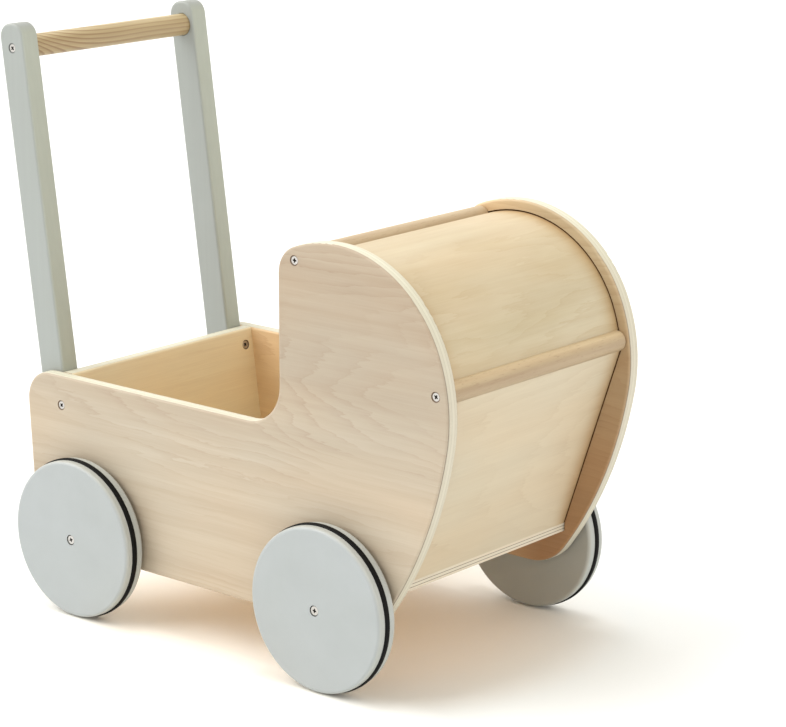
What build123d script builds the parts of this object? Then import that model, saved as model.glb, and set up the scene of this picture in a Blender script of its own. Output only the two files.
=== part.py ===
"""Wooden doll stroller: a plywood bed with a bent hood, a push handle and four disc wheels.

The frame is right handed: +X points to the hood end, +Y to the left side, +Z up.
The origin is on the floor, under the middle of the overall box. Units are millimetres.
"""
from build123d import *
from math import atan2, cos, degrees, radians, sin, tan
import os

# ---------------------------------------------------------------- driving dimensions
BODY_WIDTH = 243.0        # over the outer faces of the side panels
PLY = 12.0                # side panels and back panel
THIN_PLY = 7.0            # bottom panel and front panel
SHEET = 4.0               # bent plywood sheet of the hood
EDGE_ROUND = 2.5          # roundover on plywood edges and posts

REAR_AXLE_X = -141.9
WHEELBASE = 274.2
WHEEL_RADIUS = 67.2
WHEEL_THICKNESS = 19.5
WHEEL_RIM_ROUND = 3.0
RING_PROUD = 1.2          # the rubber ring stands out of the tread by this much
RING_WIDTH = 5.6
RING_DEPTH = 2.2
RING_ROUND = 1.9
RING_OFFSET = 0.6         # the ring lies this far outwards of the middle of the tread
SPACER = 3.0              # washer between a wheel and its side panel
WHEEL_PLAY = 0.2          # axial play between a wheel and its spacer

RAIL_Z = 201.0            # top edge of the open bed
HOOD_X = 76.3             # upright rear edge of the hood
HOOD_ARC_Z = 325.5        # height at which that edge starts to curve
HOOD_ARCS = ((24.0, 68.0), (112.5, 90.0), (136.0, 32.0), (342.0, 26.5))  # radius, degrees
NOSE_RADIUS = 45.0        # lower front corner, back into the bottom edge
REAR_X = -213.4           # rear edge of the side panels at mid height
REAR_MID_Z = 155.8
REAR_SLOPE = 0.054        # how much the rear edge leans back
REAR_RADIUS = 26.0
RAIL_FILLET = 34.5        # between the rail and the hood edge

SHEET_INSET = 10.0        # hood sheet below the rim of the side panels
GROOVE_DEPTH = 4.0
GROOVE_PLAY = 1.2         # slack above the sheet and in front of the front panel
TONGUE = 3.8              # how far sheet, front and bottom panel reach into the grooves
DOWEL_RADIUS = 8.6
DOWEL_END_ROUND = 2.0
REAR_DOWEL = (94.0, 337.6)
FRONT_DOWEL = (235.0, 253.6)

FLOOR_Z = 88.9            # upper face of the bottom panel
FLOOR_FRONT_X = 183.3
FRONT_LEAN = 18.9         # the front panel leans forward
BACK_LEAN = 7.6           # the back panel and the handle lean back
BACK_X = -170.35          # inner face of the back panel at rail height

POST_WIDTH = 18.0
POST_DEPTH = 28.0
POST_TOP = 292.4          # post length above and below the rail, along its lean
POST_FOOT = 140.0
POST_END_RADIUS = 12.0    # corners of a post's top and foot
BAR_RADIUS = 9.6
BAR_HEIGHT = 271.8        # along the posts, above the rail
SOCKET_RADIUS = 10.1
SOCKET_DEPTH = 6.0

SCREW_RADIUS = 2.0
SCREW_LENGTH = 36.0
HEAD_RADIUS = 3.5
HEAD_SUNK = 0.6           # screw heads lie a little under the surface
CROSS_WIDTH = 1.0
CROSS_SPAN = 3.6
CROSS_DEPTH = 1.5
BACK_SCREW_DROPS = (14.5, 99.0)    # below the rail, along the back panel
SIDE_SCREW_ZS = (175.4, 114.0)     # side panels into the edges of the back panel

BOLT_RADIUS = 3.0
BOLT_HEAD_RADIUS = 3.9
BOLT_HEAD = 2.1
HUB_RECESS_RADIUS = 4.4
HUB_RECESS = 2.9
SLEEVE_RADIUS = 4.2
RUNNING_FIT = 0.05        # radial clearance of a sleeve on its bolt
SPACER_RADIUS = 8.0
NUT_ACROSS_FLATS = 10.0
NUT_THICKNESS = 5.0
BOLT_TAIL = 2.0           # bolt end past the nut

# ---------------------------------------------------------------- derived places
OUTER_Y = BODY_WIDTH / 2
INNER_Y = OUTER_Y - PLY
AXLE_XS = (REAR_AXLE_X, REAR_AXLE_X + WHEELBASE)
AXLE_Z = WHEEL_RADIUS + RING_PROUD
WHEEL_IN_Y = OUTER_Y + SPACER + WHEEL_PLAY
WHEEL_OUT_Y = WHEEL_IN_Y + WHEEL_THICKNESS
SIDES = {"right": -1, "left": 1}
OUTER_END = (Align.CENTER, Align.CENTER, Align.MAX)
INNER_END = (Align.CENTER, Align.CENTER, Align.MIN)

LEAN_X = sin(radians(BACK_LEAN))
LEAN_Z = cos(radians(BACK_LEAN))
PLY_X = PLY / LEAN_Z      # back panel thickness measured along x
POST_MID_X = BACK_X - PLY_X - POST_DEPTH / 2 / LEAN_Z
BAR_X = POST_MID_X - BAR_HEIGHT * LEAN_X
BAR_Z = RAIL_Z + BAR_HEIGHT * LEAN_Z


def back_x(z):
    """Inner face of the back panel at height z."""
    return BACK_X + (RAIL_Z - z) * tan(radians(BACK_LEAN))


def rear_x(z):
    """Rear edge of a side panel at height z."""
    return REAR_X - REAR_SLOPE * (z - REAR_MID_Z)


def on_side(x, z, side, y, turn=0.0):
    """Plane on a side face, looking outwards, turned in itself by some degrees."""
    angle = radians(turn)
    return Plane((x, side * y, z), x_dir=(cos(angle), 0, sin(angle)), z_dir=(0, side, 0))


# ---------------------------------------------------------------- shared profiles
def hood_arcs(inset, arcs, start_turn):
    """Chain of tangent arcs that follows the hood rim at a constant inset."""
    heading = radians(90 - start_turn)
    rim = JernArc((HOOD_X, HOOD_ARC_Z), (0, 1), HOOD_ARCS[0][0], -HOOD_ARCS[0][1], mode=Mode.PRIVATE)
    point = rim @ 1 + Vector(sin(heading), -cos(heading)) * inset
    tangent = Vector(cos(heading), sin(heading))
    chain = []
    for radius, angle in arcs:
        arc = JernArc(point, tangent, radius - inset, -angle)
        point, tangent = arc @ 1, arc % 1
        chain.append(arc)
    return chain


def sheet_band(outer_inset, inner_inset):
    """Band between two insets of the hood rim, from the rear dowel to the front dowel."""
    first_turn = HOOD_ARCS[0][1]
    arcs = (HOOD_ARCS[1], (HOOD_ARCS[2][0], FRONT_DOWEL_TURN))
    with BuildSketch() as band:
        with BuildLine():
            outer = hood_arcs(outer_inset, arcs, first_turn)
            inner = hood_arcs(inner_inset, arcs, first_turn)
            Line(outer[0] @ 0, inner[0] @ 0)
            Line(outer[-1] @ 1, inner[-1] @ 1)
        make_face()
    return band.sketch_local


def front_dowel_turn():
    """Angle along the third rim arc at which the sheet meets the axis of the front dowel."""
    turned = HOOD_ARCS[0][1] + HOOD_ARCS[1][1]
    first = JernArc((HOOD_X, HOOD_ARC_Z), (0, 1), HOOD_ARCS[0][0], -HOOD_ARCS[0][1])
    second = JernArc(first @ 1, first % 1, HOOD_ARCS[1][0], -HOOD_ARCS[1][1])
    normal = radians(180 - turned)
    centre = second @ 1 - Vector(cos(normal), sin(normal)) * HOOD_ARCS[2][0]
    to_dowel = Vector(*FRONT_DOWEL) - centre
    return degrees(normal) - degrees(atan2(to_dowel.Y, to_dowel.X))


FRONT_DOWEL_TURN = front_dowel_turn()


def front_band(play):
    """Section of the front panel, from the bottom panel up to the axis of the front dowel."""
    lean = radians(FRONT_LEAN)
    up = Vector(sin(lean), cos(lean))
    inward = Vector(-cos(lean), sin(lean))
    foot = Vector(FLOOR_FRONT_X, FLOOR_Z)
    length = (Vector(*FRONT_DOWEL) - foot).dot(up)
    across = THIN_PLY / cos(lean)
    with BuildSketch() as band:
        with BuildLine():
            Polyline(
                foot + Vector(play, 0),
                foot - Vector(across, 0),
                foot + up * length + inward * THIN_PLY,
                foot + up * length - inward * play,
                close=True,
            )
        make_face()
    return band.sketch_local


def floor_band(play):
    """Section of the bottom panel; its rear edge is bevelled against the back panel."""
    under = FLOOR_Z - THIN_PLY
    with BuildSketch() as band:
        with BuildLine():
            Polyline(
                (back_x(under), under),
                (FLOOR_FRONT_X + play, under),
                (FLOOR_FRONT_X + play, FLOOR_Z),
                (back_x(FLOOR_Z), FLOOR_Z),
                close=True,
            )
        make_face()
    return band.sketch_local


def between_sides(reach=0.0):
    """Sketch plane on the left side from which a piece runs across to the right side."""
    return Plane.XZ.offset(-(INNER_Y + reach))


# ---------------------------------------------------------------- screw places
def side_screws_of(side):
    """The four screws of one side panel: two into the back panel, one into each dowel."""
    back = [(back_x(z) - PLY_X / 2, z) for z in SIDE_SCREW_ZS]
    places = back + [REAR_DOWEL, FRONT_DOWEL]
    return [on_side(x, z, side, OUTER_Y, turn=20 + 31 * i) for i, (x, z) in enumerate(places)]


def back_screw_planes():
    """Screws from the bed through the back panel into the posts."""
    planes = []
    for side in SIDES.values():
        for drop in BACK_SCREW_DROPS:
            place = (BACK_X + drop * LEAN_X, side * (INNER_Y - POST_WIDTH / 2), RAIL_Z - drop * LEAN_Z)
            planes.append(Plane(place, x_dir=(0, 1, 0), z_dir=(LEAN_Z, 0, LEAN_X)))
    return planes


SIDE_SCREWS = side_screws_of(-1) + side_screws_of(1)
BACK_SCREWS = back_screw_planes()
BAR_SCREWS = [on_side(BAR_X, BAR_Z, side, INNER_Y, turn=15) for side in SIDES.values()]


def drill(planes):
    """Countersunk screw holes."""
    with Locations(*planes):
        CounterSinkHole(SCREW_RADIUS, HEAD_RADIUS + HEAD_SUNK, SCREW_LENGTH, 90)


def pilot(planes):
    """Pilot bores in the wood that a screw bites into."""
    with Locations(*planes):
        Hole(SCREW_RADIUS, SCREW_LENGTH)


def cross_recess(planes, sunk):
    """Cross recesses in screw or bolt heads."""
    with Locations(*[plane.offset(-sunk) for plane in planes]):
        Box(CROSS_WIDTH, CROSS_SPAN, CROSS_DEPTH, align=OUTER_END, mode=Mode.SUBTRACT)
        Box(CROSS_SPAN, CROSS_WIDTH, CROSS_DEPTH, align=OUTER_END, mode=Mode.SUBTRACT)


def wood_screws(planes):
    """Countersunk wood screws with a cross recess and a plain shank."""
    cone = HEAD_RADIUS - SCREW_RADIUS
    tip = 2 * SCREW_RADIUS
    with Locations(*[plane.offset(-HEAD_SUNK) for plane in planes]):
        Cone(SCREW_RADIUS, HEAD_RADIUS, cone, align=OUTER_END)
    with Locations(*[plane.offset(-HEAD_SUNK - cone) for plane in planes]):
        Cylinder(SCREW_RADIUS, SCREW_LENGTH - HEAD_SUNK - cone - tip, align=OUTER_END)
    with Locations(*[plane.offset(-(SCREW_LENGTH - tip)) for plane in planes]):
        Cone(SCREW_RADIUS / 4, SCREW_RADIUS, tip, align=OUTER_END)
    cross_recess(planes, HEAD_SUNK)


def save(piece, name):
    """Label a finished piece and write its STEP file."""
    piece.part.label = name
    export_step(piece.part, f"parts/{name}.step")


os.makedirs("parts", exist_ok=True)

# ---------------------------------------------------------------- side panels
with BuildPart() as side_panel_right:
    with BuildSketch(Plane.XZ.offset(INNER_Y)) as side_sketch:
        with BuildLine():
            turned = sum(angle for _, angle in HOOD_ARCS)
            rim = hood_arcs(0, HOOD_ARCS[1:] + ((NOSE_RADIUS, 270 - turned),), HOOD_ARCS[0][1])
            JernArc((HOOD_X, HOOD_ARC_Z), (0, 1), HOOD_ARCS[0][0], -HOOD_ARCS[0][1])
            bottom_z = (rim[-1] @ 1).Y
            FilletPolyline(
                rim[-1] @ 1,
                (rear_x(bottom_z), bottom_z),
                (rear_x(RAIL_Z), RAIL_Z),
                (HOOD_X, RAIL_Z),
                (HOOD_X, HOOD_ARC_Z),
                radius=(REAR_RADIUS, REAR_RADIUS, RAIL_FILLET),
            )
        make_face()
    extrude(amount=PLY)
    fillet(side_panel_right.edges().filter_by(Axis.Y, reverse=True), EDGE_ROUND)
    with BuildSketch(Plane.XZ.offset(INNER_Y)):
        add(sheet_band(SHEET_INSET - GROOVE_PLAY, SHEET_INSET + SHEET))
        add(front_band(GROOVE_PLAY))
        add(floor_band(GROOVE_PLAY))
    extrude(amount=GROOVE_DEPTH, mode=Mode.SUBTRACT)
    drill(side_screws_of(-1))
    with Locations(*[on_side(x, AXLE_Z, -1, OUTER_Y) for x in AXLE_XS]):
        Hole(BOLT_RADIUS)
save(side_panel_right, "side_panel_right")

with BuildPart() as side_panel_left:
    mirror(side_panel_right.part, about=Plane.XZ)
save(side_panel_left, "side_panel_left")

# ---------------------------------------------------------------- bed and hood
with BuildPart() as back_panel:
    with BuildSketch(between_sides()):
        with BuildLine():
            lower = FLOOR_Z - THIN_PLY
            Polyline(
                (BACK_X, RAIL_Z),
                (BACK_X - PLY_X, RAIL_Z),
                (back_x(lower) - PLY_X, lower),
                (back_x(lower), lower),
                close=True,
            )
        make_face()
    extrude(amount=2 * INNER_Y)
    top_face = back_panel.faces().sort_by(Axis.Z)[-1]
    fillet(top_face.edges().filter_by(Axis.Y), EDGE_ROUND)
    drill(BACK_SCREWS)
    pilot(SIDE_SCREWS)
save(back_panel, "back_panel")

with BuildPart() as bottom_panel:
    with BuildSketch(between_sides(TONGUE)):
        add(floor_band(0))
    extrude(amount=2 * (INNER_Y + TONGUE))
save(bottom_panel, "bottom_panel")

with BuildPart() as front_panel:
    with BuildSketch(between_sides(TONGUE)):
        add(front_band(0))
    extrude(amount=2 * (INNER_Y + TONGUE))
    with BuildSketch(between_sides(TONGUE)):
        with Locations(FRONT_DOWEL):
            Circle(DOWEL_RADIUS)
    extrude(amount=2 * (INNER_Y + TONGUE), mode=Mode.SUBTRACT)
save(front_panel, "front_panel")

with BuildPart() as hood_sheet:
    with BuildSketch(between_sides(TONGUE)):
        add(sheet_band(SHEET_INSET, SHEET_INSET + SHEET))
        with Locations(REAR_DOWEL, FRONT_DOWEL):
            Circle(DOWEL_RADIUS, mode=Mode.SUBTRACT)
    extrude(amount=2 * (INNER_Y + TONGUE))
save(hood_sheet, "hood_sheet")

for name, centre in {"hood_dowel_rear": REAR_DOWEL, "hood_dowel_front": FRONT_DOWEL}.items():
    with BuildPart() as dowel:
        with BuildSketch(between_sides()):
            with Locations(centre):
                Circle(DOWEL_RADIUS)
        extrude(amount=2 * INNER_Y)
        fillet(dowel.edges().filter_by(GeomType.CIRCLE), DOWEL_END_ROUND)
        pilot(SIDE_SCREWS)
    save(dowel, name)

# ---------------------------------------------------------------- push handle
for name, side in SIDES.items():
    with BuildPart() as post:
        beside_rail = (POST_MID_X, side * INNER_Y, RAIL_Z)
        post_plane = Plane(beside_rail, x_dir=(LEAN_Z, 0, LEAN_X), z_dir=(0, -1, 0))
        with BuildSketch(post_plane) as post_sketch:
            with Locations((0, POST_TOP)):
                Rectangle(POST_DEPTH, POST_TOP + POST_FOOT, align=(Align.CENTER, Align.MAX))
            fillet(post_sketch.vertices(), POST_END_RADIUS)
        extrude(amount=side * POST_WIDTH)
        fillet(post.edges().filter_by(Axis.Y, reverse=True), EDGE_ROUND)
        socket = on_side(BAR_X, BAR_Z, -side, -(INNER_Y - POST_WIDTH))
        with Locations(socket):
            Hole(SOCKET_RADIUS, SOCKET_DEPTH)
        drill(BAR_SCREWS)
        pilot(BACK_SCREWS)
    save(post, f"handle_post_{name}")

with BuildPart() as handle_bar:
    bar_half = INNER_Y - POST_WIDTH + SOCKET_DEPTH
    with BuildSketch(Plane.XZ.offset(-bar_half)):
        with Locations((BAR_X, BAR_Z)):
            Circle(BAR_RADIUS)
    extrude(amount=2 * bar_half)
    pilot(BAR_SCREWS)
save(handle_bar, "handle_bar")

# ---------------------------------------------------------------- screws
with BuildPart() as side_screws:
    wood_screws(SIDE_SCREWS)
save(side_screws, "side_screws")

with BuildPart() as back_screws:
    wood_screws(BACK_SCREWS)
save(back_screws, "back_screws")

with BuildPart() as handle_screws:
    wood_screws(BAR_SCREWS)
save(handle_screws, "handle_screws")

# ---------------------------------------------------------------- axle bolts, spacers and nuts
AXLES = [(x, side) for x in AXLE_XS for side in SIDES.values()]

with BuildPart() as axle_bolts:
    head_planes = [on_side(x, AXLE_Z, side, WHEEL_OUT_Y) for x, side in AXLES]
    shank_end = WHEEL_OUT_Y - (INNER_Y - NUT_THICKNESS - BOLT_TAIL)
    with Locations(*[plane.offset(-HEAD_SUNK) for plane in head_planes]):
        Cylinder(BOLT_HEAD_RADIUS, BOLT_HEAD, align=OUTER_END)
        Cylinder(BOLT_RADIUS, shank_end - HEAD_SUNK, align=OUTER_END)
    cross_recess(head_planes, HEAD_SUNK)
save(axle_bolts, "axle_bolts")

with BuildPart() as axle_spacers:
    with Locations(*[on_side(x, AXLE_Z, side, OUTER_Y) for x, side in AXLES]):
        Cylinder(SPACER_RADIUS, SPACER, align=INNER_END)
        Cylinder(BOLT_RADIUS, SPACER, align=INNER_END, mode=Mode.SUBTRACT)
save(axle_spacers, "axle_spacers")

with BuildPart() as axle_nuts:
    for x, side in AXLES:
        with BuildSketch(on_side(x, AXLE_Z, side, INNER_Y)):
            RegularPolygon(NUT_ACROSS_FLATS / 2, 6, major_radius=False)
            Circle(BOLT_RADIUS, mode=Mode.SUBTRACT)
        extrude(amount=-NUT_THICKNESS)
save(axle_nuts, "axle_nuts")

# ---------------------------------------------------------------- wheels
GROOVE_RADIUS = WHEEL_RADIUS - RING_DEPTH
RING_Y = WHEEL_THICKNESS / 2 + RING_OFFSET

for end, x in zip(("rear", "front"), AXLE_XS):
    for name, side in SIDES.items():
        hub = on_side(x, AXLE_Z, side, WHEEL_IN_Y)
        ring_plane = hub.offset(RING_Y - RING_WIDTH / 2)

        with BuildPart() as wheel:
            with BuildSketch(hub):
                Circle(WHEEL_RADIUS)
            extrude(amount=WHEEL_THICKNESS)
            fillet(wheel.edges(), WHEEL_RIM_ROUND)
            with BuildSketch(ring_plane):
                Circle(WHEEL_RADIUS + RING_PROUD)
                Circle(GROOVE_RADIUS, mode=Mode.SUBTRACT)
            extrude(amount=RING_WIDTH, mode=Mode.SUBTRACT)
            with Locations(hub.offset(WHEEL_THICKNESS)):
                CounterBoreHole(SLEEVE_RADIUS, HUB_RECESS_RADIUS, HUB_RECESS)
        save(wheel, f"wheel_{end}_{name}")

        with BuildPart() as ring:
            with BuildSketch(ring_plane):
                Circle(WHEEL_RADIUS + RING_PROUD)
                Circle(GROOVE_RADIUS, mode=Mode.SUBTRACT)
            extrude(amount=RING_WIDTH)
            fillet(ring.edges().group_by(SortBy.LENGTH)[-1], RING_ROUND)
        save(ring, f"tyre_ring_{end}_{name}")

        with BuildPart() as sleeve:
            with BuildSketch(hub):
                Circle(SLEEVE_RADIUS)
                Circle(BOLT_RADIUS + RUNNING_FIT, mode=Mode.SUBTRACT)
            extrude(amount=WHEEL_THICKNESS - HUB_RECESS)
        save(sleeve, f"hub_sleeve_{end}_{name}")
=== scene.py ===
"""Looks of the wooden doll stroller: materials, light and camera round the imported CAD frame.

Everything is in metres in the frame of the part: +X to the hood end, +Y to the left side, +Z up.
"""
import math
from collections import namedtuple

import bmesh
import bpy
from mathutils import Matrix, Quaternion, Vector


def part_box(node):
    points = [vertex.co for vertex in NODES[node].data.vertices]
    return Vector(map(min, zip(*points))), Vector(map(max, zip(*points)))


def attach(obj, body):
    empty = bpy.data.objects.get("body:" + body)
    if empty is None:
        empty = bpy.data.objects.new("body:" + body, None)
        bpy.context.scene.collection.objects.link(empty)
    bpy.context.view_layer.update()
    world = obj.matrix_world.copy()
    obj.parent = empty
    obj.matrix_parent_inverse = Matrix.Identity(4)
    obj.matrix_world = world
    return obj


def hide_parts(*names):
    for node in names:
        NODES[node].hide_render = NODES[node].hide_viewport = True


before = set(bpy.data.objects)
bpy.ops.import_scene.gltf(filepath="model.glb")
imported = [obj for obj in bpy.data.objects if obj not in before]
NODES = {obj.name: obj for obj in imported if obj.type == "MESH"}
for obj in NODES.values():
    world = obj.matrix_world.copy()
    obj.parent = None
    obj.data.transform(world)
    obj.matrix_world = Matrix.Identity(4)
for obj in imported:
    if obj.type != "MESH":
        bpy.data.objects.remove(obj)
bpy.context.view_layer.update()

MM = 0.001
WHITE = (1.0, 1.0, 1.0)
INNER_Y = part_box("back_panel")[1].y         # inner faces of the side panels
OUTER_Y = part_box("side_panel_left")[1].y
WHEEL_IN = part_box("wheel_rear_left")[0].y   # inner faces of the wheels
BACK_LEAN = math.radians(7.6)               # the back panel and the handle lean back
FRONT_LEAN = math.radians(18.9)             # the front panel leans forward
FRONT_PLY, HOOD_PLY = 7 * MM, 4 * MM        # thickness of the front panel and of the bent sheet
CREST = Vector((0.13345, 0, 0.24344))       # middle of the large arc of the hood rim
HEAD_RING, HUB_RING = 4.25 * MM, 4.5 * MM   # radius of the painted shade rings round screws and bolts
SATIN = 0.45                                # specular level of lacquer and paint


# ---------------------------------------------------------------- node helpers
class Shader:
    """One material: a Principled shader and short calls for the nodes in front of it."""

    def __init__(self, name, **constants):
        self.material = bpy.data.materials.new(name)
        self.material.use_nodes = True
        self.tree = self.material.node_tree
        self.surface = self.tree.nodes["Principled BSDF"]
        for socket, value in constants.items():
            self.surface.inputs[socket.replace("_", " ")].default_value = value

    def node(self, kind, *inputs, **settings):
        made = self.tree.nodes.new("ShaderNode" + kind)
        for key, value in settings.items():
            setattr(made, key, value)
        for index, value in enumerate(inputs):
            self.put(made.inputs[index], value)
        return made

    def put(self, socket, value):
        if isinstance(value, bpy.types.NodeSocket):
            self.tree.links.new(value, socket)
        else:
            socket.default_value = value

    def place(self):
        """x, y and z of the surface in the frame of the part, at rest."""
        return self.node("SeparateXYZ", self.node("TexCoord").outputs["Object"]).outputs

    def normal(self):
        """x, y and z of the direction the surface faces, at rest."""
        return self.node("SeparateXYZ", self.node("TexCoord").outputs["Normal"]).outputs

    def math(self, operation, *values):
        return self.node("Math", *values, operation=operation).outputs[0]

    def add(self, *terms):
        total = terms[0]
        for term in terms[1:]:
            total = self.math("ADD", total, term)
        return total

    def times(self, a, b):
        return self.math("MULTIPLY", a, b)

    def minus(self, a, b):
        return self.math("SUBTRACT", a, b)

    def radius(self, u, v):
        """Distance from the origin in two coordinates."""
        return self.math("SQRT", self.add(self.math("POWER", u, 2.0), self.math("POWER", v, 2.0)))

    def field(self, x, y, z, scales, detail=2.0, roughness=0.5):
        """Noise with its own number of cells per metre along each coordinate."""
        place = self.node("CombineXYZ", *[self.times(v, k) for v, k in zip((x, y, z), scales)])
        made = self.node("TexNoise")
        self.put(made.inputs["Vector"], place.outputs[0])
        settings = {"Scale": 1.0, "Detail": detail, "Roughness": roughness, "Distortion": 0.0}
        for socket, value in settings.items():
            made.inputs[socket].default_value = value
        return made.outputs["Fac"]

    def steps(self, factor, stops):
        """A smooth grey ramp through (place, level) pairs."""
        made = self.node("ValToRGB", factor)
        ramp = made.color_ramp
        ramp.interpolation = "EASE"
        while len(ramp.elements) < len(stops):
            ramp.elements.new(0.5)
        for element, (place, level) in zip(ramp.elements, stops):
            element.position = place
            element.color = (level, level, level, 1)
        return made.outputs["Color"]

    def blend(self, kind, factor, a, b):
        made = self.tree.nodes.new("ShaderNodeMix")
        made.data_type, made.blend_type, made.clamp_factor = "RGBA", kind, True
        for index, value in ((0, factor), (6, a), (7, b)):
            self.put(made.inputs[index], (*value, 1) if isinstance(value, tuple) else value)
        return made.outputs[2]

    def mix(self, factor, a, b):
        return self.blend("MIX", factor, a, b)

    def scale(self, colour, factor):
        """A colour times another colour."""
        return self.blend("MULTIPLY", 1.0, colour, factor)

    def tint(self, colour, value, low, high, tints):
        """A colour times the first tint where value is low, and times the second where it is high."""
        return self.scale(colour, self.mix(self.remap(value, low, high), *tints))

    def remap(self, value, low, high, to_low=0.0, to_high=1.0):
        return self.node("MapRange", value, low, high, to_low, to_high, clamp=True).outputs[0]

    def line(self, value, at, half_width, soft):
        """1 on a line where value is near at, 0 elsewhere."""
        away = self.math("ABSOLUTE", self.minus(value, at))
        return self.remap(away, half_width, half_width + soft, 1.0, 0.0)

    def disc(self, u, v, spot, radius):
        """1 within radius of a place in two coordinates."""
        off = [self.math("POWER", self.minus(value, at), 2.0) for value, at in zip((u, v), spot)]
        return self.math("LESS_THAN", self.math("ADD", *off), radius * radius)

    def finish(self, colour, roughness, height, depth):
        """Link colour, roughness and bump to the shader; depth is the relief in metres."""
        self.put(self.surface.inputs["Base Color"], colour)
        self.put(self.surface.inputs["Roughness"], roughness)
        bump = self.node("Bump")
        bump.inputs["Strength"].default_value = 1.0
        bump.inputs["Distance"].default_value = depth
        self.put(bump.inputs["Height"], height)
        self.put(self.surface.inputs["Normal"], bump.outputs[0])
        return self.material


def shade(colour, *factors):
    """A colour tuple times one factor, or times one factor per channel."""
    return tuple(c * k for c, k in zip(colour, factors if len(factors) == 3 else factors * 3))


# ---------------------------------------------------------------- places of the screws
def solids_of(node):
    """The points of each separate solid of a CAD node."""
    mesh = NODES[node].data
    spot, group = {}, {}

    def root(key):
        while group[key] != key:
            group[key] = group[group[key]]
            key = group[key]
        return key

    keys = [tuple(round(c, 6) for c in vertex.co) for vertex in mesh.vertices]
    for key in keys:
        group.setdefault(key, key)
    for edge in mesh.edges:
        first, second = (root(keys[i]) for i in edge.vertices)
        group[first] = second
    for key in sorted(group):
        spot.setdefault(root(key), []).append(Vector(key))
    return [spot[key] for key in sorted(spot)]


def fasteners_of(node, out=None):
    """(middle of the head, outward direction, head radius, length) of each fastener.

    They point along out, or without it sideways, away from the middle of the part.
    """
    found = []
    for points in solids_of(node):
        axis = Vector((0, math.copysign(1, points[0].y), 0)) if out is None else out
        side = axis.orthogonal().normalized()
        up = axis.cross(side)
        middle = Vector()
        for direction in (side, up):
            reach = [p.dot(direction) for p in points]
            middle += direction * (min(reach) + max(reach)) / 2
        along = [p.dot(axis) for p in points]
        head = middle + axis * max(along)
        found.append((head, axis, (max(reach) - min(reach)) / 2, max(along) - min(along)))
    return found


FASTENERS = {
    "side_screws": fasteners_of("side_screws"),
    "back_screws": fasteners_of("back_screws", Vector((math.cos(BACK_LEAN), 0, math.sin(BACK_LEAN)))),
    "handle_screws": fasteners_of("handle_screws"),
    "axle_bolts": fasteners_of("axle_bolts"),
}


def places(node, *axes):
    """Where the fasteners of a node sit in two coordinates, each place once."""
    return sorted({tuple(round(spot[0][axis], 5) for axis in axes) for spot in FASTENERS[node]})


# ---------------------------------------------------------------- veneer and plywood
# (place within a ring, tone): a grain line starts abruptly at 0 and fades
GRAIN_TOOTH = ((0.0, 0.0), (0.04, 0.28), (0.12, 0.50), (0.50, 0.82), (0.955, 1.0), (1.0, 0.45))
COUNTERSINK_SHADE = (0.13, 0.085, 0.05)               # painted shade in the countersinks round the screw heads
GROOVE_SHADE = (0.15, 0.058, 0.014)              # painted shade inside the grooves and on the tongues held in them
GRAIN, SOFT_GRAIN, HOOD_GRAIN = (0.90, 0.845, 0.815), (0.935, 0.90, 0.865), (0.94, 0.90, 0.85)
GRAIN_GAP = (1.02, 1.02, 1.02)              # tint between the grain lines
BLOTCH_TINTS = ((1.02, 0.98, 0.945), (0.98, 1.0, 1.025))
BAND_TINTS = ((0.955, 0.93, 0.905), (1.03, 1.035, 1.035))
FIBRE_TINTS = ((0.965, 0.955, 0.945), (1.02, 1.02, 1.02))
CORNER, CORNER_SHADE = 23 * MM, (0.84, 0.68, 0.50)   # painted shade: panels between the sides darken towards them
EDGE_TOP_HIGHLIGHT = (1.13, 1.19, 1.19)               # painted highlight: tint of ply edges that face up
PLY_ROUGHNESS = 0.47
CUT_ROUGHER = 0.5                           # how much rougher the wood inside the grooves is

# noise in a veneer: cells per metre along and across the grain, and per layer
SLOW, RAGGED, PATCHES = (8.0, 30.0, 1.0), (30.0, 250.0, 1.7), (7.0, 16.0, 2.3)
FIBRE, BANDS, BLOTCH = (22.0, 900.0, 1.0), (2.5, 85.0, 2.9), (5.0, 14.0, 3.1)
GRIT = (500.0, 500.0, 500.0)                # cut ends of fibres on an edge, cells per metre
LAYER_STEP = 7.3                            # sets the noise of the two faces of a board apart

# centre: middle line of the arches, across the grain; rings: grain lines per square metre from it;
# wander and rough: how many lines slow and ragged noise shift the figure; tips: arches per metre;
# calm: strength of the lines far from the middle line; banding: contrast of the bands
Figure = namedtuple("Figure", "centre rings wander tips rough calm banding", defaults=(1.0,))

# colours are those of the pale plies, the crossed plies and the glue
EDGE = ((0.595, 0.557, 0.445), (0.55, 0.505, 0.395), (0.19, 0.16, 0.12))
THIN_EDGE = ((0.66, 0.61, 0.49), (0.66, 0.60, 0.47), (0.15, 0.10, 0.06))
Build = namedtuple("Build", "colours skin core_plies")   # skin is the thickness of a face veneer
THICK = Build(EDGE, 1.15 * MM, 3)
THIN, BENT = Build(THIN_EDGE, 2.2 * MM, 1), Build(THIN_EDGE, 1.0 * MM, 1)


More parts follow.
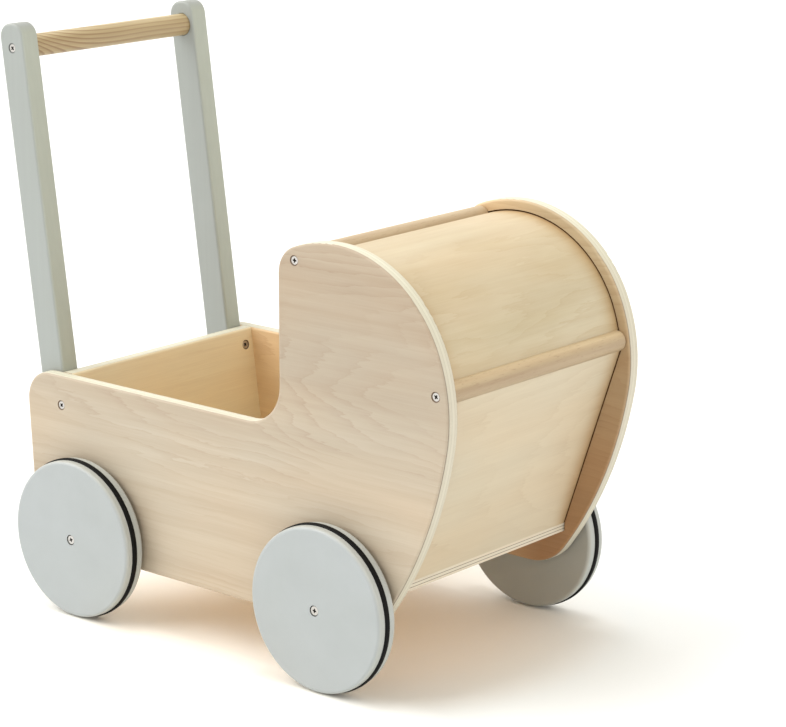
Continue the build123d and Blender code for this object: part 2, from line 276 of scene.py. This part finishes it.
def veneer(s, along, across, layer, figure):
    """Figure of a sliced veneer: arched tips along the middle line, long lines away from it.

    layer tells the veneers of one board apart. Returns tone, which is 0 on a grain line, fibre,
    bands and blotch, each 0..1.
    """
    def noise(cells, **settings):
        return s.field(along, across, layer, cells, **settings)

    off = s.minus(across, figure.centre)
    away = s.math("ABSOLUTE", off)
    slow = s.times(noise(SLOW, detail=1.0), figure.wander)
    ragged = s.times(noise(RAGGED, detail=3.0, roughness=0.6), figure.rough)
    arch = s.times(s.times(along, figure.tips), s.remap(away, 40 * MM, 110 * MM, 1.0, 0.08))
    contour = s.add(s.times(s.times(off, off), figure.rings), slow, ragged)
    tooth = s.steps(s.math("FRACT", s.minus(contour, arch)), GRAIN_TOOTH)
    patch = s.remap(noise(PATCHES), 0.38, 0.60, 0.2, 1.0)
    strength = s.times(patch, s.remap(away, 60 * MM, 120 * MM, 1.0, figure.calm))
    tone = s.minus(1.0, s.times(strength, s.minus(1.0, tooth)))
    fibre = noise(FIBRE, detail=3.0, roughness=0.6)
    bands = s.times(noise(BANDS, detail=3.0, roughness=0.55), figure.banding)
    bands = s.add(bands, 0.5 - 0.5 * figure.banding)
    return tone, fibre, bands, noise(BLOTCH)


def cut_plies(s, x, y, z, depth, thickness, build):
    """The plies where an edge or a roundover cuts through them.

    Returns their colour, where they show, and the joint lines under the face veneers.
    """
    pale, cross, glue = build.colours
    # painted highlight: ply edges that face up are lighter
    top_highlight = s.remap(s.normal()[2], 0.1, 0.85)
    pale, cross = [s.mix(top_highlight, colour, shade(colour, *EDGE_TOP_HIGHLIGHT)) for colour in (pale, cross)]
    skin, core_thickness = build.skin, thickness - 2 * build.skin
    ply = s.times(s.minus(depth, skin), build.core_plies / core_thickness)
    turned = s.math("PINGPONG", s.math("FLOOR", ply), 1.0)
    grit = s.remap(s.field(x, y, z, GRIT, detail=3.0, roughness=0.6), 0.3, 0.7, 0.45, 1.0)
    core = s.mix(s.times(s.minus(1.0, turned), grit), pale, cross)
    glue_line = s.remap(s.math("PINGPONG", ply, 0.5), 0.03, 0.08, 0.3, 0.0)
    core = s.mix(glue_line, core, glue)
    near, far = skin - 0.05 * MM, skin + 0.05 * MM
    from_back = s.remap(depth, thickness - far, thickness - near, 1.0, 0.0)
    inside = s.times(s.remap(depth, near, far), from_back)
    from_middle = s.math("ABSOLUTE", s.minus(depth, thickness / 2))
    joint = s.line(from_middle, thickness / 2 - skin, 0.16 * MM, 0.18 * MM)
    return core, inside, joint


def ply_material(name, plan, faces, build, grain=GRAIN, holes=(), cut=None, shaded=False):
    """Plywood: two face veneers with their figure, and the plies where edges cut through them.

    plan gives along, across, depth below the first face, thickness, the figure and a seed.
    holes are (coordinate, coordinate, radius, places) of countersinks, which get painted shade; cut gives
    a mask of the grooves, which get painted shade. A shaded panel is held in grooves: painted shade
    darkens it towards them and makes it dark inside them.
    """
    s = Shader(name, Specular_IOR_Level=SATIN)
    x, y, z = place = s.place()
    along, across, depth, thickness, figure, seed = plan(s, x, y, z)
    half = s.remap(depth, thickness * 0.49, thickness * 0.51)
    layer = s.add(s.times(half, LAYER_STEP), seed)
    tone, fibre, bands, blotch = veneer(s, along, across, layer, figure)
    face = s.mix(half, *[face(s, x, y, z) if callable(face) else face for face in faces])
    face = s.tint(face, blotch, 0.34, 0.66, BLOTCH_TINTS)
    face = s.scale(face, s.mix(tone, grain, GRAIN_GAP))
    face = s.tint(face, bands, 0.3, 0.7, BAND_TINTS)
    face = s.tint(face, fibre, 0.3, 0.7, FIBRE_TINTS)
    satin = s.remap(fibre, 0.25, 0.75, PLY_ROUGHNESS - 0.05, PLY_ROUGHNESS + 0.07)

    # painted shade: the panel darkens towards the side panels that hold it
    if shaded:
        out = s.math("ABSOLUTE", y)
        corner = s.remap(out, INNER_Y - CORNER, INNER_Y)
        face = s.scale(face, s.mix(s.times(corner, corner), WHITE, CORNER_SHADE))
        # painted shade: the tongue of the panel inside the grooves is dark
        tongue_shade = s.remap(out, INNER_Y, INNER_Y + 0.2 * MM)
        face = s.mix(tongue_shade, face, GROOVE_SHADE)
        satin = s.add(satin, s.times(tongue_shade, CUT_ROUGHER))

    core, inside, joint = cut_plies(s, x, y, z, depth, thickness, build)
    colour = s.mix(inside, face, core)
    clear = s.times(s.remap(x, 0.05, 0.13, 0.15, 0.9), s.remap(z, 0.25, 0.33, 1.0, 0.2))
    colour = s.mix(s.times(joint, clear), colour, build.colours[2])
    # painted shade: dark rings in the countersinks round the screws
    for first_axis, second_axis, radius, spots in holes:
        for spot in spots:
            colour = s.mix(s.disc(place[first_axis], place[second_axis], spot, radius), colour, COUNTERSINK_SHADE)
    # painted shade inside the grooves of the side panels, where the wood is also rougher
    if cut:
        groove_shade = cut(s, x, z, depth)
        colour = s.mix(groove_shade, colour, GROOVE_SHADE)
        satin = s.add(satin, s.times(groove_shade, CUT_ROUGHER))
    height = s.add(s.times(fibre, 0.6), s.times(tone, 0.15), s.times(joint, -0.3))
    return s.finish(colour, satin, height, 0.05 * MM)


# painted light: inner faces of the bed are lighter and warmer than the outer veneer; painted shade: under
# and outside the hood the inner side is darker and redder low down
SIDE_FACE = (0.462, 0.400, 0.306)
SIDE_HOOD = (0.389, 0.325, 0.243)
RIM_TOP, SHADED_RIM_LOW, LIT_BED_SIDE = (0.47, 0.378, 0.235), (0.357, 0.207, 0.099), (0.75, 0.565, 0.34)
LIT_BED_FACE, UNDER_FACE, FRONT_FACE = (0.795, 0.70, 0.475), (0.80, 0.60, 0.36), (0.575, 0.505, 0.368)
HOOD_TAN, HOOD_YELLOW = (0.517, 0.440, 0.284), (0.559, 0.492, 0.343)
HOOD_DRIFT = (26.0, 7.0, 26.0)                      # cells per metre of the change between the two
HOOD_ARC = 100 * MM                                 # radius along which the sheet's figure is laid out
GROOVE_FROM, GROOVE_TO = 0.15 * MM, 4.4 * MM        # below the inner face of a side panel
HOOD_GROOVE_X, HOOD_GROOVE_Z, HOOD_GROOVE_RADIUS = 0.086, 0.19, 0.108
BED_GROOVE_X, BED_GROOVE_LOW, BED_GROOVE_HIGH = -0.185, 0.078, 0.191


def front_face_x(s, z):
    """Outer face of the front panel at height z."""
    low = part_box("front_panel")[0]
    foot = low.x + FRONT_PLY / math.cos(FRONT_LEAN)
    return s.add(foot, s.times(s.minus(z, low.z), math.tan(FRONT_LEAN)))


def side_plan(centre, seed):
    figure = Figure(centre, rings=520.0, wander=3.6, tips=22.0, rough=0.9, calm=0.85, banding=1.35)

    def plan(s, x, y, z):
        depth = s.minus(s.math("ABSOLUTE", y), INNER_Y)
        return x, z, depth, OUTER_Y - INNER_Y, figure, seed
    return plan


def side_outside(s, x, y, z):
    """Outer veneer, a little darker up in the hood than along the bed."""
    return s.mix(s.remap(z, 0.16, 0.27), SIDE_FACE, SIDE_HOOD)


def side_inside(s, x, y, z):
    """Inner veneer with painted light and shade: pale in the open bed, darker and redder under and outside
    the hood.
    """
    rim = s.mix(s.remap(z, 0.10, 0.33), SHADED_RIM_LOW, RIM_TOP)
    return s.mix(s.remap(x, 0.06, 0.16), LIT_BED_SIDE, rim)


def side_grooves(s, x, z, depth):
    """1 inside the grooves that hold the sheet, the front panel and the bottom panel, where shade is
    painted.
    """
    def above(value, limit):
        return s.math("GREATER_THAN", value, limit)

    def below(value, limit):
        return s.math("LESS_THAN", value, limit)

    arch = s.radius(s.minus(x, CREST.x), s.minus(z, CREST.z))
    hood_corner = s.times(above(x, HOOD_GROOVE_X), above(z, HOOD_GROOVE_Z))
    under_rim = s.times(below(arch, HOOD_GROOVE_RADIUS), hood_corner)
    level = s.times(above(z, BED_GROOVE_LOW), below(z, BED_GROOVE_HIGH))
    within = s.times(above(x, BED_GROOVE_X), below(s.minus(x, front_face_x(s, z)), 3 * MM))
    cut = s.times(above(depth, GROOVE_FROM), below(depth, GROOVE_TO))
    return s.times(s.math("MAXIMUM", under_rim, s.times(level, within)), cut)


def back_plan(s, x, y, z):
    low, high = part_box("back_panel")
    face_x = s.minus(high.x, s.times(s.minus(z, low.z), math.tan(BACK_LEAN)))
    depth = s.times(s.minus(face_x, x), math.cos(BACK_LEAN))
    figure = Figure(centre=0.30, rings=160.0, wander=1.6, tips=5.0, rough=0.6, calm=0.4)
    return y, z, depth, OUTER_Y - INNER_Y, figure, 31.0


def front_plan(s, x, y, z):
    depth = s.times(s.minus(front_face_x(s, z), x), math.cos(FRONT_LEAN))
    figure = Figure(centre=0.158, rings=300.0, wander=2.4, tips=18.0, rough=0.8, calm=0.6, banding=0.5)
    return y, z, depth, FRONT_PLY, figure, 52.0


def bottom_plan(s, x, y, z):
    low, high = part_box("bottom_panel")
    figure = Figure(centre=0.02, rings=200.0, wander=2.5, tips=20.0, rough=0.8, calm=0.6)
    return y, x, s.minus(high.z, z), high.z - low.z, figure, 71.0


def bed_face(colour):
    """A veneer of the bottom panel, pale where the front edge cuts through it."""
    return lambda s, x, y, z: s.mix(s.remap(x, 0.176, 0.180), colour, THIN_EDGE[0])


def hood_face(s, x, y, z):
    """Veneer of the sheet with slow yellow and tan drifts."""
    drift = s.field(x, y, z, HOOD_DRIFT, detail=3.0, roughness=0.6)
    return s.mix(s.remap(drift, 0.36, 0.64), HOOD_TAN, HOOD_YELLOW)


def hood_plan(s, x, y, z):
    """The bent sheet: the figure is laid out along its curve, and only its two faces show."""
    turn = s.math("ARCTAN2", s.minus(x, CREST.x), s.minus(z, CREST.z))
    figure = Figure(centre=0.070, rings=620.0, wander=4.0, tips=-9.0, rough=0.9, calm=0.8)
    return y, s.times(turn, HOOD_ARC), 0.0, HOOD_PLY, figure, 90.0


X, Y, Z = range(3)
side_holes = [(X, Z, HEAD_RING, places("side_screws", X, Z))]
back_holes = [(Y, Z, HEAD_RING, places("back_screws", Y, Z))]
side_right, side_left = [
    ply_material("side_veneer_" + side, side_plan(centre, seed), (side_inside, side_outside), THICK,
                 holes=side_holes, cut=side_grooves)
    for side, centre, seed in (("right", 0.262, 0.0), ("left", 0.240, 14.0))]
back = ply_material("back_veneer", back_plan, (LIT_BED_FACE, SIDE_FACE), THICK, holes=back_holes)
front = ply_material("front_veneer", front_plan, (FRONT_FACE, LIT_BED_FACE), THIN, SOFT_GRAIN, shaded=True)
bottom = ply_material("bottom_veneer", bottom_plan, (bed_face(LIT_BED_FACE), bed_face(UNDER_FACE)), THIN)
hood = ply_material("hood_veneer", hood_plan, (hood_face,) * 2, BENT, HOOD_GRAIN, shaded=True)


# ---------------------------------------------------------------- round wood
DOWEL_DARK, DOWEL_PALE, DOWEL_FLECK = (0.45, 0.34, 0.21), (0.525, 0.42, 0.27), (0.31, 0.205, 0.12)
REAR_DOWEL_TINT = (1.02, 1.02, 1.02)
FRONT_DOWEL_LIGHT_SHADE = ((0.82, 0.785, 0.755), (1.17, 1.18, 1.13))      # painted shade on the low side, painted highlight on top
FRONT_DOWEL_FROM_X = 0.16
BAR_DARK, BAR_PALE, BAR_LATE = (0.405, 0.315, 0.17), (0.485, 0.39, 0.225), (0.215, 0.12, 0.048)
BAR_LIGHT_SHADE = ((0.97, 0.95, 0.93), (1.22, 1.28, 1.30))                # painted shade on the low side, painted highlight on top
RING = 3.7 * MM                             # width of one growth ring
RING_TILT = (-0.35, 0.94)                   # direction across the rings, in x and z
BOW_FROM, BOW = 120 * MM, -12.0             # length of the end where the rings bend, and how much
# cells per metre of the streaks and flecks of the dowels, and of the waves and streaks of the bar
DOWEL_STREAK, DOWEL_SPOTS = (260.0, 9.0, 260.0), (1100.0, 130.0, 1100.0)
BAR_WAVE, BAR_STREAK = (22.0, 6.0, 22.0), (500.0, 12.0, 500.0)
WAVE_HEIGHT = 5 * MM
BAR_CLEAR = (50 * MM, 140 * MM, 0.72, 0.45)         # between these places of the bar the rings fade
# (place within a growth ring, darkness of the late wood)
LATE_WOOD = ((0.0, 0.1), (0.35, 0.3), (0.68, 1.0), (0.8, 0.85), (0.88, 0.1), (1.0, 0.05))


def beech(name):
    s = Shader(name, Specular_IOR_Level=SATIN)
    x, y, z = s.place()
    streak = s.field(x, y, z, DOWEL_STREAK, detail=3.0, roughness=0.6)
    fleck = s.field(x, y, z, DOWEL_SPOTS, detail=1.0)
    colour = s.mix(s.remap(streak, 0.32, 0.68), DOWEL_DARK, DOWEL_PALE)
    # painted highlight on top of the front dowel, painted shade on its low side
    front = s.mix(s.remap(s.normal()[2], 0.30, 0.85), *FRONT_DOWEL_LIGHT_SHADE)
    at_front = s.math("GREATER_THAN", x, FRONT_DOWEL_FROM_X)
    colour = s.scale(colour, s.mix(at_front, REAR_DOWEL_TINT, front))
    colour = s.mix(s.remap(fleck, 0.62, 0.72, 0.0, 0.4), colour, DOWEL_FLECK)
    height = s.add(streak, s.times(fleck, 0.5))
    return s.finish(colour, s.remap(streak, 0.3, 0.7, 0.42, 0.52), height, 0.05 * MM)


def pine(name):
    """Flat-sawn pine: rings nearly parallel to the bar, so their cuts are long pointed curves."""
    s = Shader(name, Specular_IOR_Level=SATIN)
    x, y, z = s.place()
    low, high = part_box("handle_bar")
    middle = (low + high) / 2
    run = s.math("MAXIMUM", s.minus(low.y + BOW_FROM, y), 0.0)
    bow = s.times(s.math("POWER", run, 3.0), BOW)
    wave = s.times(s.field(x, y, z, BAR_WAVE, detail=1.0), WAVE_HEIGHT)
    across = [s.times(s.minus(value, at), tilt)
              for value, at, tilt in zip((x, z), (middle.x, middle.z), RING_TILT)]
    ring = s.math("FRACT", s.times(s.add(*across, bow, wave), 1 / RING))
    near, far, strong, faint = BAR_CLEAR
    clear = s.remap(y, low.y + near, low.y + far, strong, faint)
    late = s.steps(ring, LATE_WOOD)
    streak = s.field(x, y, z, BAR_STREAK, detail=3.0, roughness=0.6)
    colour = s.mix(s.remap(streak, 0.3, 0.7), BAR_DARK, BAR_PALE)
    colour = s.mix(s.times(late, clear), colour, BAR_LATE)
    # painted highlight on top of the bar, painted shade on its low side
    colour = s.tint(colour, s.normal()[2], 0.45, 0.95, BAR_LIGHT_SHADE)
    height = s.add(streak, s.times(late, 0.4))
    return s.finish(colour, s.remap(streak, 0.3, 0.7, 0.38, 0.48), height, 0.05 * MM)


dowel = beech("beech_dowel")
bar = pine("pine_bar")


# ---------------------------------------------------------------- paint, rubber, steel and nylon
# faces of the posts turned to the hood end are painted lighter and warmer, as light
POST_PAINT, POST_FRONT_LIT = (0.312, 0.337, 0.322), (0.395, 0.425, 0.365)
WHEEL_PAINT = (0.360, 0.388, 0.393)
STREAK_TINTS = ((0.975,) * 3, (1.015,) * 3)
CLOUD_TINTS = ((0.985, 0.985, 0.975), (1.01, 1.01, 1.01))
TREAD_HIGHLIGHT = (1.19, 1.155, 1.08)            # painted highlight on the roundovers and treads of the wheels
INNER_BOUNCE_SHADE = (0.98, 0.90, 0.79)             # painted warm bounce light and shade on the faces of the wheels turned to the bed
PAINT_ROUGHNESS = 0.40
DRILLED_SHADE = 0.35                        # painted shade in the recess round a screw or bolt: the paint times this
PLAIN_CELLS, PLAIN_RELIEF, PLAIN_SHADE = 900.0, 0.02 * MM, 0.93
POST_BRUSH, WHEEL_BRUSH = (300.0, 300.0, 7.0), (40.0, 40.0, 40.0)   # cells per metre of the streaks
CLOUD, PEEL = (18.0, 18.0, 18.0), (380.0, 380.0, 380.0)             # of slow clouds and orange peel


def paint(name, colour, brush, holes, front=None, inner=None):
    """Satin paint: brush gives the cells per metre of its faint streaks.

    holes are the radius and the places of painted shade rings round fasteners. front is the colour
    of faces turned to the hood end, a painted light that makes them lighter and warmer. inner gives
    the distances from the middle plane between which the painted warm bounce light and shade of a
    wheel's inner face fades.
    """
    s = Shader(name, Specular_IOR_Level=SATIN)
    x, y, z = s.place()
    streak = s.field(x, y, z, brush, detail=3.0, roughness=0.6)
    cloud = s.field(x, y, z, CLOUD)
    peel = s.field(x, y, z, PEEL)
    ring_shade = shade(colour, DRILLED_SHADE)
    if front:
        # painted light: faces turned to the hood end are lighter and warmer
        colour = s.mix(s.remap(s.normal()[0], 0.5, 0.95), colour, front)
    colour = s.tint(colour, streak, 0.32, 0.68, STREAK_TINTS)
    colour = s.tint(colour, cloud, 0.35, 0.65, CLOUD_TINTS)
    radius, spots = holes
    # painted shade: dark rings round the screws and bolts
    for spot in spots:
        colour = s.mix(s.disc(x, z, spot, radius), colour, ring_shade)
    if inner:
        # painted highlight on the roundovers and treads of the wheels
        colour = s.tint(colour, s.math("ABSOLUTE", s.normal()[1]), 0.45, 0.92, (TREAD_HIGHLIGHT, WHITE))
        # painted warm bounce light and shade on the wheel faces turned to the bed
        colour = s.tint(colour, s.math("ABSOLUTE", y), *inner, (INNER_BOUNCE_SHADE, WHITE))
    height = s.add(s.times(peel, 0.6), s.times(streak, 0.4))
    roughness = s.remap(peel, 0.3, 0.7, PAINT_ROUGHNESS - 0.03, PAINT_ROUGHNESS + 0.05)
    return s.finish(colour, roughness, height, 0.04 * MM)


def plain(name, colour, roughness, metallic=0.0, specular=0.5):
    """A finish with only fine grain in its colour, gloss and relief."""
    s = Shader(name, Metallic=metallic, Specular_IOR_Level=specular)
    x, y, z = s.place()
    grain = s.field(x, y, z, (PLAIN_CELLS,) * 3)
    tint = s.mix(s.remap(grain, 0.3, 0.7), shade(colour, PLAIN_SHADE), colour)
    gloss = s.remap(grain, 0.3, 0.7, roughness - 0.05, roughness + 0.05)
    return s.finish(tint, gloss, grain, PLAIN_RELIEF)


post_paint = paint("painted_wood", POST_PAINT, POST_BRUSH,
                   (HEAD_RING, places("handle_screws", X, Z)), front=POST_FRONT_LIT)
wheel_paint = paint("wheel_paint", WHEEL_PAINT, WHEEL_BRUSH,
                    (HUB_RING, places("axle_bolts", X, Z)), inner=(WHEEL_IN + 0.2 * MM, WHEEL_IN + 3 * MM))
rubber = plain("rubber_ring", (0.004, 0.004, 0.004), 0.65, specular=0.14)
steel = plain("screw_steel", (0.57, 0.55, 0.52), 0.33, metallic=1.0)
# painted shade: the cross recesses of the screw heads are dark
recess = plain("screw_recess_shade", (0.05, 0.045, 0.04), 0.6, specular=0.2)
nylon = plain("spacer_nylon", (0.58, 0.60, 0.59), 0.45)

# finish by the start of the node's name
FINISHES = {
    "side_panel_right": side_right, "side_panel_left": side_left,
    "back_panel": back, "bottom_panel": bottom, "front_panel": front, "hood_sheet": hood,
    "hood_dowel": dowel, "handle_post": post_paint, "handle_bar": bar,
    "side_screws": steel, "back_screws": steel, "handle_screws": steel,
    "axle_bolts": steel, "axle_nuts": steel, "axle_spacers": nylon,
    "hub_sleeve": nylon, "wheel_": wheel_paint, "tyre_ring": rubber,
}
for name, obj in NODES.items():
    material = next(m for key, m in FINISHES.items() if name.startswith(key))
    obj.data.materials.clear()
    obj.data.materials.append(material)


# ---------------------------------------------------------------- screws and bolts
QUARTER_STEPS = 12                          # steps round a quarter of a head
ARM_WIDTH, ARM_REACH, ARM_CORNER = 0.50 * MM, 1.90 * MM, 0.72 * MM     # half the cross recess
TIP_SCALE, RECESS_DEPTH, RECESS_POINT = 0.5, 1.5 * MM, 1.12            # the recess narrows to a point
BEVEL = 0.25 * MM
SCREW_SHANK, BOLT_SHANK = 1.95 * MM, 2.98 * MM
BOLT_HEAD = 2.1 * MM                        # thickness of the head of an axle bolt
PITCH, THREAD_FROM, THREAD_TIP = 1.8 * MM, 0.3, 4 * MM      # the thread starts at a part of the length
THREAD_ROOT = 0.78                          # radius between the threads, as a part of the shank's
FIRST_TURN, NEXT_TURN = 65, 31              # degrees: turn of the first cross, and of each one further


def ring_of(bm, place, radius, height, lift=None):
    """A ring of vertices round the axis; lift changes the radius with the angle."""
    steps = 4 * QUARTER_STEPS
    made = []
    for i in range(steps):
        a = 2 * math.pi * i / steps
        r = radius * (lift(a) if lift else 1.0)
        made.append(bm.verts.new(place(r * math.cos(a), r * math.sin(a), height)))
    return made


def head_with_cross(bm, place, rim):
    """The flat of a head round a tapered cross recess; rim is the outer ring of vertices."""
    outlines = []
    for scale, drop in ((1.0, 0.0), (TIP_SCALE, RECESS_DEPTH)):
        wide, reach, corner = (v * scale for v in (ARM_WIDTH, ARM_REACH, ARM_CORNER))
        outline = []
        for quarter in range(4):
            angle = quarter * math.pi / 2
            c, q = round(math.cos(angle)), round(math.sin(angle))
            for u, v in ((reach, 0.0), (reach, wide), (corner, corner), (wide, reach)):
                outline.append(bm.verts.new(place(u * c - v * q, u * q + v * c, -drop)))
        outlines.append(outline)
    top, low = outlines
    count = len(top)
    for quarter in range(4):
        arc = [rim[(quarter * QUARTER_STEPS + i) % len(rim)] for i in range(QUARTER_STEPS + 1)]
        inner = [top[(quarter * 4 + i) % count] for i in range(5)]
        bm.faces.new(arc + inner[::-1])
    centre = bm.verts.new(place(0, 0, -RECESS_DEPTH * RECESS_POINT))
    for i in range(count):
        j = (i + 1) % count
        for corners in ((top[i], top[j], low[j], low[i]), (low[i], low[j], centre)):
            # faces of the recess take the second material, its painted shade
            bm.faces.new(corners).material_index = 1


def thread_lift(height):
    """How far the thread stands out at each angle, at one height."""
    def lift(angle):
        turn = (height / PITCH - angle / (2 * math.pi)) % 1.0
        return THREAD_ROOT + (1 - THREAD_ROOT) * abs(2 * turn - 1.0)
    return lift


def fastener(bm, spot, turn, wood_screw):
    """One wood screw with a threaded shank, or one axle bolt."""
    head, axis, radius, length = spot
    side = axis.orthogonal().normalized()
    side.rotate(Quaternion(axis, turn))
    up = axis.cross(side)

    def place(u, v, height):
        return head + side * u + up * v + axis * height

    start, stop = -THREAD_FROM * length, -length + THREAD_TIP
    if wood_screw:
        profile = [(radius, -BEVEL), (radius, -1.6 * BEVEL),
                   (SCREW_SHANK, -radius + SCREW_SHANK), (SCREW_SHANK, start)]
    else:
        profile = [(radius, -BEVEL), (radius, -BOLT_HEAD), (BOLT_SHANK, -BOLT_HEAD),
                   (BOLT_SHANK, -length + 2 * BEVEL), (BOLT_SHANK - BEVEL, -length)]
    rings = [ring_of(bm, place, radius - BEVEL, 0.0)]
    head_with_cross(bm, place, rings[0])
    rings += [ring_of(bm, place, r, h) for r, h in profile]
    if wood_screw:
        turns = int((start - stop) / (PITCH / 4))
        for i in range(1, turns + 1):
            h = start + (stop - start) * i / turns
            rings.append(ring_of(bm, place, SCREW_SHANK, h, thread_lift(h)))
    for upper, lower in zip(rings, rings[1:]):
        for i in range(len(upper)):
            j = (i + 1) % len(upper)
            bm.faces.new((upper[j], upper[i], lower[i], lower[j]))
    tip = bm.verts.new(place(0, 0, -length))
    last = rings[-1]
    for i in range(len(last)):
        bm.faces.new((last[(i + 1) % len(last)], last[i], tip))


def build_fasteners():
    for node, spots in FASTENERS.items():
        bm = bmesh.new()
        for i, spot in enumerate(spots):
            fastener(bm, spot, math.radians(FIRST_TURN + NEXT_TURN * i), node != "axle_bolts")
        bmesh.ops.recalc_face_normals(bm, faces=bm.faces)
        mesh = bpy.data.meshes.new(node + "_detail")
        bm.to_mesh(mesh)
        bm.free()
        mesh.shade_smooth()
        mesh.set_sharp_from_angle(angle=math.radians(35))
        piece = bpy.data.objects.new(node + "_detail", mesh)
        bpy.context.scene.collection.objects.link(piece)
        mesh.materials.append(steel)
        mesh.materials.append(recess)
        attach(piece, "frame")
        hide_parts(node)


build_fasteners()


# ---------------------------------------------------------------- floor, light and camera
FLOOR_HALF, FLOOR_GRAIN = 15.0, (300.0, 300.0, 300.0)
FLOOR_GREYS = ((0.93, 0.93, 0.93), (0.95, 0.95, 0.95))
# painted light on the floor: warm bounce near the stroller, then painted shadow, then a cooler grey far
# out
FLOOR_NEAR_BOUNCE, FLOOR_EDGE_SHADOW, FLOOR_FAR_SHADE = (1.06, 1.03, 0.96), (0.91, 0.955, 0.96), (0.93, 0.965, 0.985)
FLOOR_NEAR_TO, FLOOR_FAR_FROM = (0.17, 0.27), (0.28, 0.42)  # distances over which the painted bounce light and shadow change
SKY_STRENGTH = 0.845
HORIZON = (0.10, (1.15, 1.15, 1.15, 1))     # height of the direction and colour: white up to here
SKY = (0.20, (1.0, 0.925, 0.845, 1))        # and warm from here on up


def floor():
    """White floor with painted light: warm bounce near the stroller, a painted shadow round it, slightly
    grey far out.
    """
    h = FLOOR_HALF
    mesh = bpy.data.meshes.new("floor")
    mesh.from_pydata([(-h, -h, 0), (h, -h, 0), (h, h, 0), (-h, h, 0)], [], [(0, 1, 2, 3)])
    plane = bpy.data.objects.new("floor", mesh)
    bpy.context.scene.collection.objects.link(plane)
    s = Shader("floor_white", Specular_IOR_Level=0.2)
    x, y, z = s.place()
    grain = s.field(x, y, z, FLOOR_GRAIN)
    away = s.radius(x, y)
    tint = s.mix(s.remap(away, *FLOOR_NEAR_TO), FLOOR_NEAR_BOUNCE, FLOOR_EDGE_SHADOW)
    tint = s.mix(s.remap(away, *FLOOR_FAR_FROM), tint, FLOOR_FAR_SHADE)
    white = s.scale(s.mix(grain, *FLOOR_GREYS), tint)
    plane.data.materials.append(s.finish(white, 0.7, grain, 0.02 * MM))


def sun(name, azimuth, elevation, level, softness=50.0):
    """A soft distant light; azimuth 0 stands at -Y and 90 at +X.

    level is what it adds to a face turned to it, softness its width in degrees.
    """
    data = bpy.data.lights.new(name, "SUN")
    data.energy, data.angle = math.pi * level, math.radians(softness)
    lamp = bpy.data.objects.new(name, data)
    bpy.context.scene.collection.objects.link(lamp)
    a, e = math.radians(azimuth), math.radians(elevation)
    towards = Vector((math.sin(a) * math.cos(e), -math.cos(a) * math.cos(e), math.sin(e)))
    lamp.rotation_mode = "QUATERNION"
    lamp.rotation_quaternion = towards.to_track_quat("Z", "Y")


def lights():
    world = bpy.data.worlds.new("studio")
    world.use_nodes = True
    tree = world.node_tree
    background = tree.nodes["Background"]
    background.inputs["Strength"].default_value = SKY_STRENGTH
    split = tree.nodes.new("ShaderNodeSeparateXYZ")
    tree.links.new(tree.nodes.new("ShaderNodeTexCoord").outputs["Generated"], split.inputs[0])
    ramp = tree.nodes.new("ShaderNodeValToRGB")
    for element, (height, colour) in zip(ramp.color_ramp.elements, (HORIZON, SKY)):
        element.position, element.color = height, colour
    tree.links.new(split.outputs[2], ramp.inputs[0])
    tree.links.new(ramp.outputs[0], background.inputs["Color"])
    bpy.context.scene.world = world
    sun("key", -43, 39, 0.62)
    sun("left", -90, 40, 0.21)
    sun("top", 0, 90, 0.15, softness=14.0)
    sun("back", -142, 40, 0.11)
    sun("right", 80, 25, 0.16)


CAMERA_AT = Vector((1.487988, -1.647272, 0.787162))
CAMERA_YAW, CAMERA_DIP = 40.31, 14.42       # degrees: azimuth of the view and how far it looks down
LENS, SENSOR = 126.134, 36.0                # millimetres of the camera


def camera():
    data = bpy.data.cameras.new("camera")
    data.lens, data.sensor_width, data.clip_end = LENS, SENSOR, 60.0
    shot = bpy.data.objects.new("camera", data)
    bpy.context.scene.collection.objects.link(shot)
    shot.location = CAMERA_AT
    shot.rotation_euler = (math.radians(90 - CAMERA_DIP), 0, math.radians(CAMERA_YAW))
    bpy.context.scene.camera = shot
    bpy.context.scene.view_settings.view_transform = "Standard"


floor()
lights()
camera()
